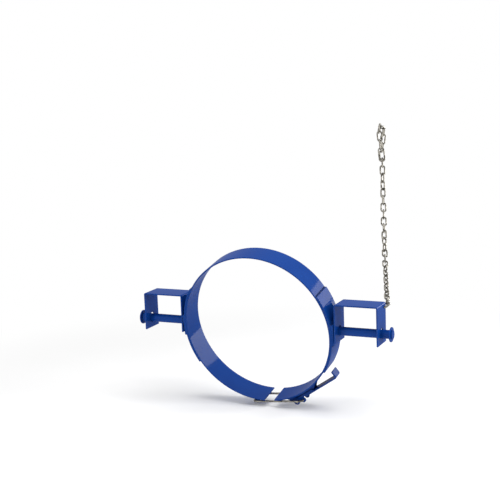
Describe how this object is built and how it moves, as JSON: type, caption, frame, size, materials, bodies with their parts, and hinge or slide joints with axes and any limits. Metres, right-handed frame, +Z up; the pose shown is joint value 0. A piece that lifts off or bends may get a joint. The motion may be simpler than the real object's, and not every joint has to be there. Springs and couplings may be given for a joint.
{
  "type": "fork-mounted drum tipper",
  "caption": "Fork-mounted drum tipper: a clamping band with an over-centre latch turns on trunnion bars in fork brackets, tied back by a safety chain.",
  "frame": {"origin": "middle of the clamping band, on the trunnion axis", "axes": "+X along the trunnion bars to the user's right, +Y away from the user along the forks, +Z up"},
  "size_m": [1.026, 0.8616, 1.0264],
  "materials": {
    "blue_enamel": "glossy sprayed enamel",
    "zinc_plate": "bright zinc plate"
  },
  "bodies": {
    "right_bracket": {"right_fork_bracket": "blue_enamel", "chain_end_link": "zinc_plate", "chain_link_01": "zinc_plate", "chain_link_02": "zinc_plate", "chain_link_03": "zinc_plate", "chain_link_04": "zinc_plate", "chain_link_05": "zinc_plate", "chain_link_06": "zinc_plate", "chain_link_07": "zinc_plate", "chain_link_08": "zinc_plate", "chain_link_09": "zinc_plate", "chain_link_10": "zinc_plate", "chain_link_11": "zinc_plate", "chain_link_12": "zinc_plate", "chain_link_13": "zinc_plate", "chain_link_14": "zinc_plate", "chain_link_15": "zinc_plate", "chain_link_16": "zinc_plate", "chain_link_17": "zinc_plate", "chain_link_18": "zinc_plate", "chain_link_19": "zinc_plate", "chain_link_20": "zinc_plate", "chain_link_21": "zinc_plate", "chain_link_22": "zinc_plate", "chain_link_23": "zinc_plate", "chain_link_24": "zinc_plate", "chain_link_25": "zinc_plate", "chain_link_26": "zinc_plate", "chain_link_27": "zinc_plate", "chain_link_28": "zinc_plate", "chain_link_29": "zinc_plate", "chain_link_30": "zinc_plate", "chain_link_31": "zinc_plate", "chain_link_32": "zinc_plate", "chain_link_33": "zinc_plate", "snap_hook": "zinc_plate", "gate_pin": "zinc_plate"},
    "drum_ring": {"drum_band": "blue_enamel", "right_side_plate": "blue_enamel", "left_side_plate": "blue_enamel", "right_trunnion_pad": "blue_enamel", "left_trunnion_pad": "blue_enamel", "right_trunnion_bar": "blue_enamel", "left_trunnion_bar": "blue_enamel", "right_end_disc": "blue_enamel", "left_end_disc": "blue_enamel", "front_latch_cheek": "blue_enamel", "rear_latch_cheek": "blue_enamel", "latch_pivot_pin": "zinc_plate", "catch_hook": "blue_enamel"},
    "left_bracket": {"left_fork_bracket": "blue_enamel"},
    "lever": {"latch_lever": "blue_enamel", "front_lever_ear": "blue_enamel", "rear_lever_ear": "blue_enamel"},
    "bail": {"draw_bail": "zinc_plate"},
    "gate": {"hook_gate": "zinc_plate"}
  },
  "joints": [
    {"name": "drum_tilt", "type": "hinge", "parent": "right_bracket", "child": "drum_ring", "pos_m": [0, 0, 0], "axis": [1, 0, 0], "range_deg": [-101, 40]},
    {"name": "left_bracket_slide", "type": "slide", "parent": "right_bracket", "child": "left_bracket", "axis": [-1, 0, 0], "range_m": [0, 0.03]},
    {"name": "latch_lever_swing", "type": "hinge", "parent": "drum_ring", "child": "lever", "pos_m": [0.11999, 0.05724, -0.29448], "axis": [0, 0.9816, 0.1908], "range_deg": [0, 120]},
    {"name": "draw_bail_swing", "type": "hinge", "parent": "lever", "child": "bail", "pos_m": [0.14725, 0.05514, -0.28367], "axis": [0, 0.9816, 0.1908], "range_deg": [-103.8, 0]},
    {"name": "hook_gate_swing", "type": "hinge", "parent": "right_bracket", "child": "gate", "pos_m": [0.25084, 0.68807, 0.5604], "axis": [-0.3173, 0.9483, 0], "range_deg": [0, 30], "stiffness_Nm_per_rad": 0.02}
  ],
  "couplings": [
    {"joint": "draw_bail_swing", "follows": "latch_lever_swing", "ratio": -0.865}
  ]
}
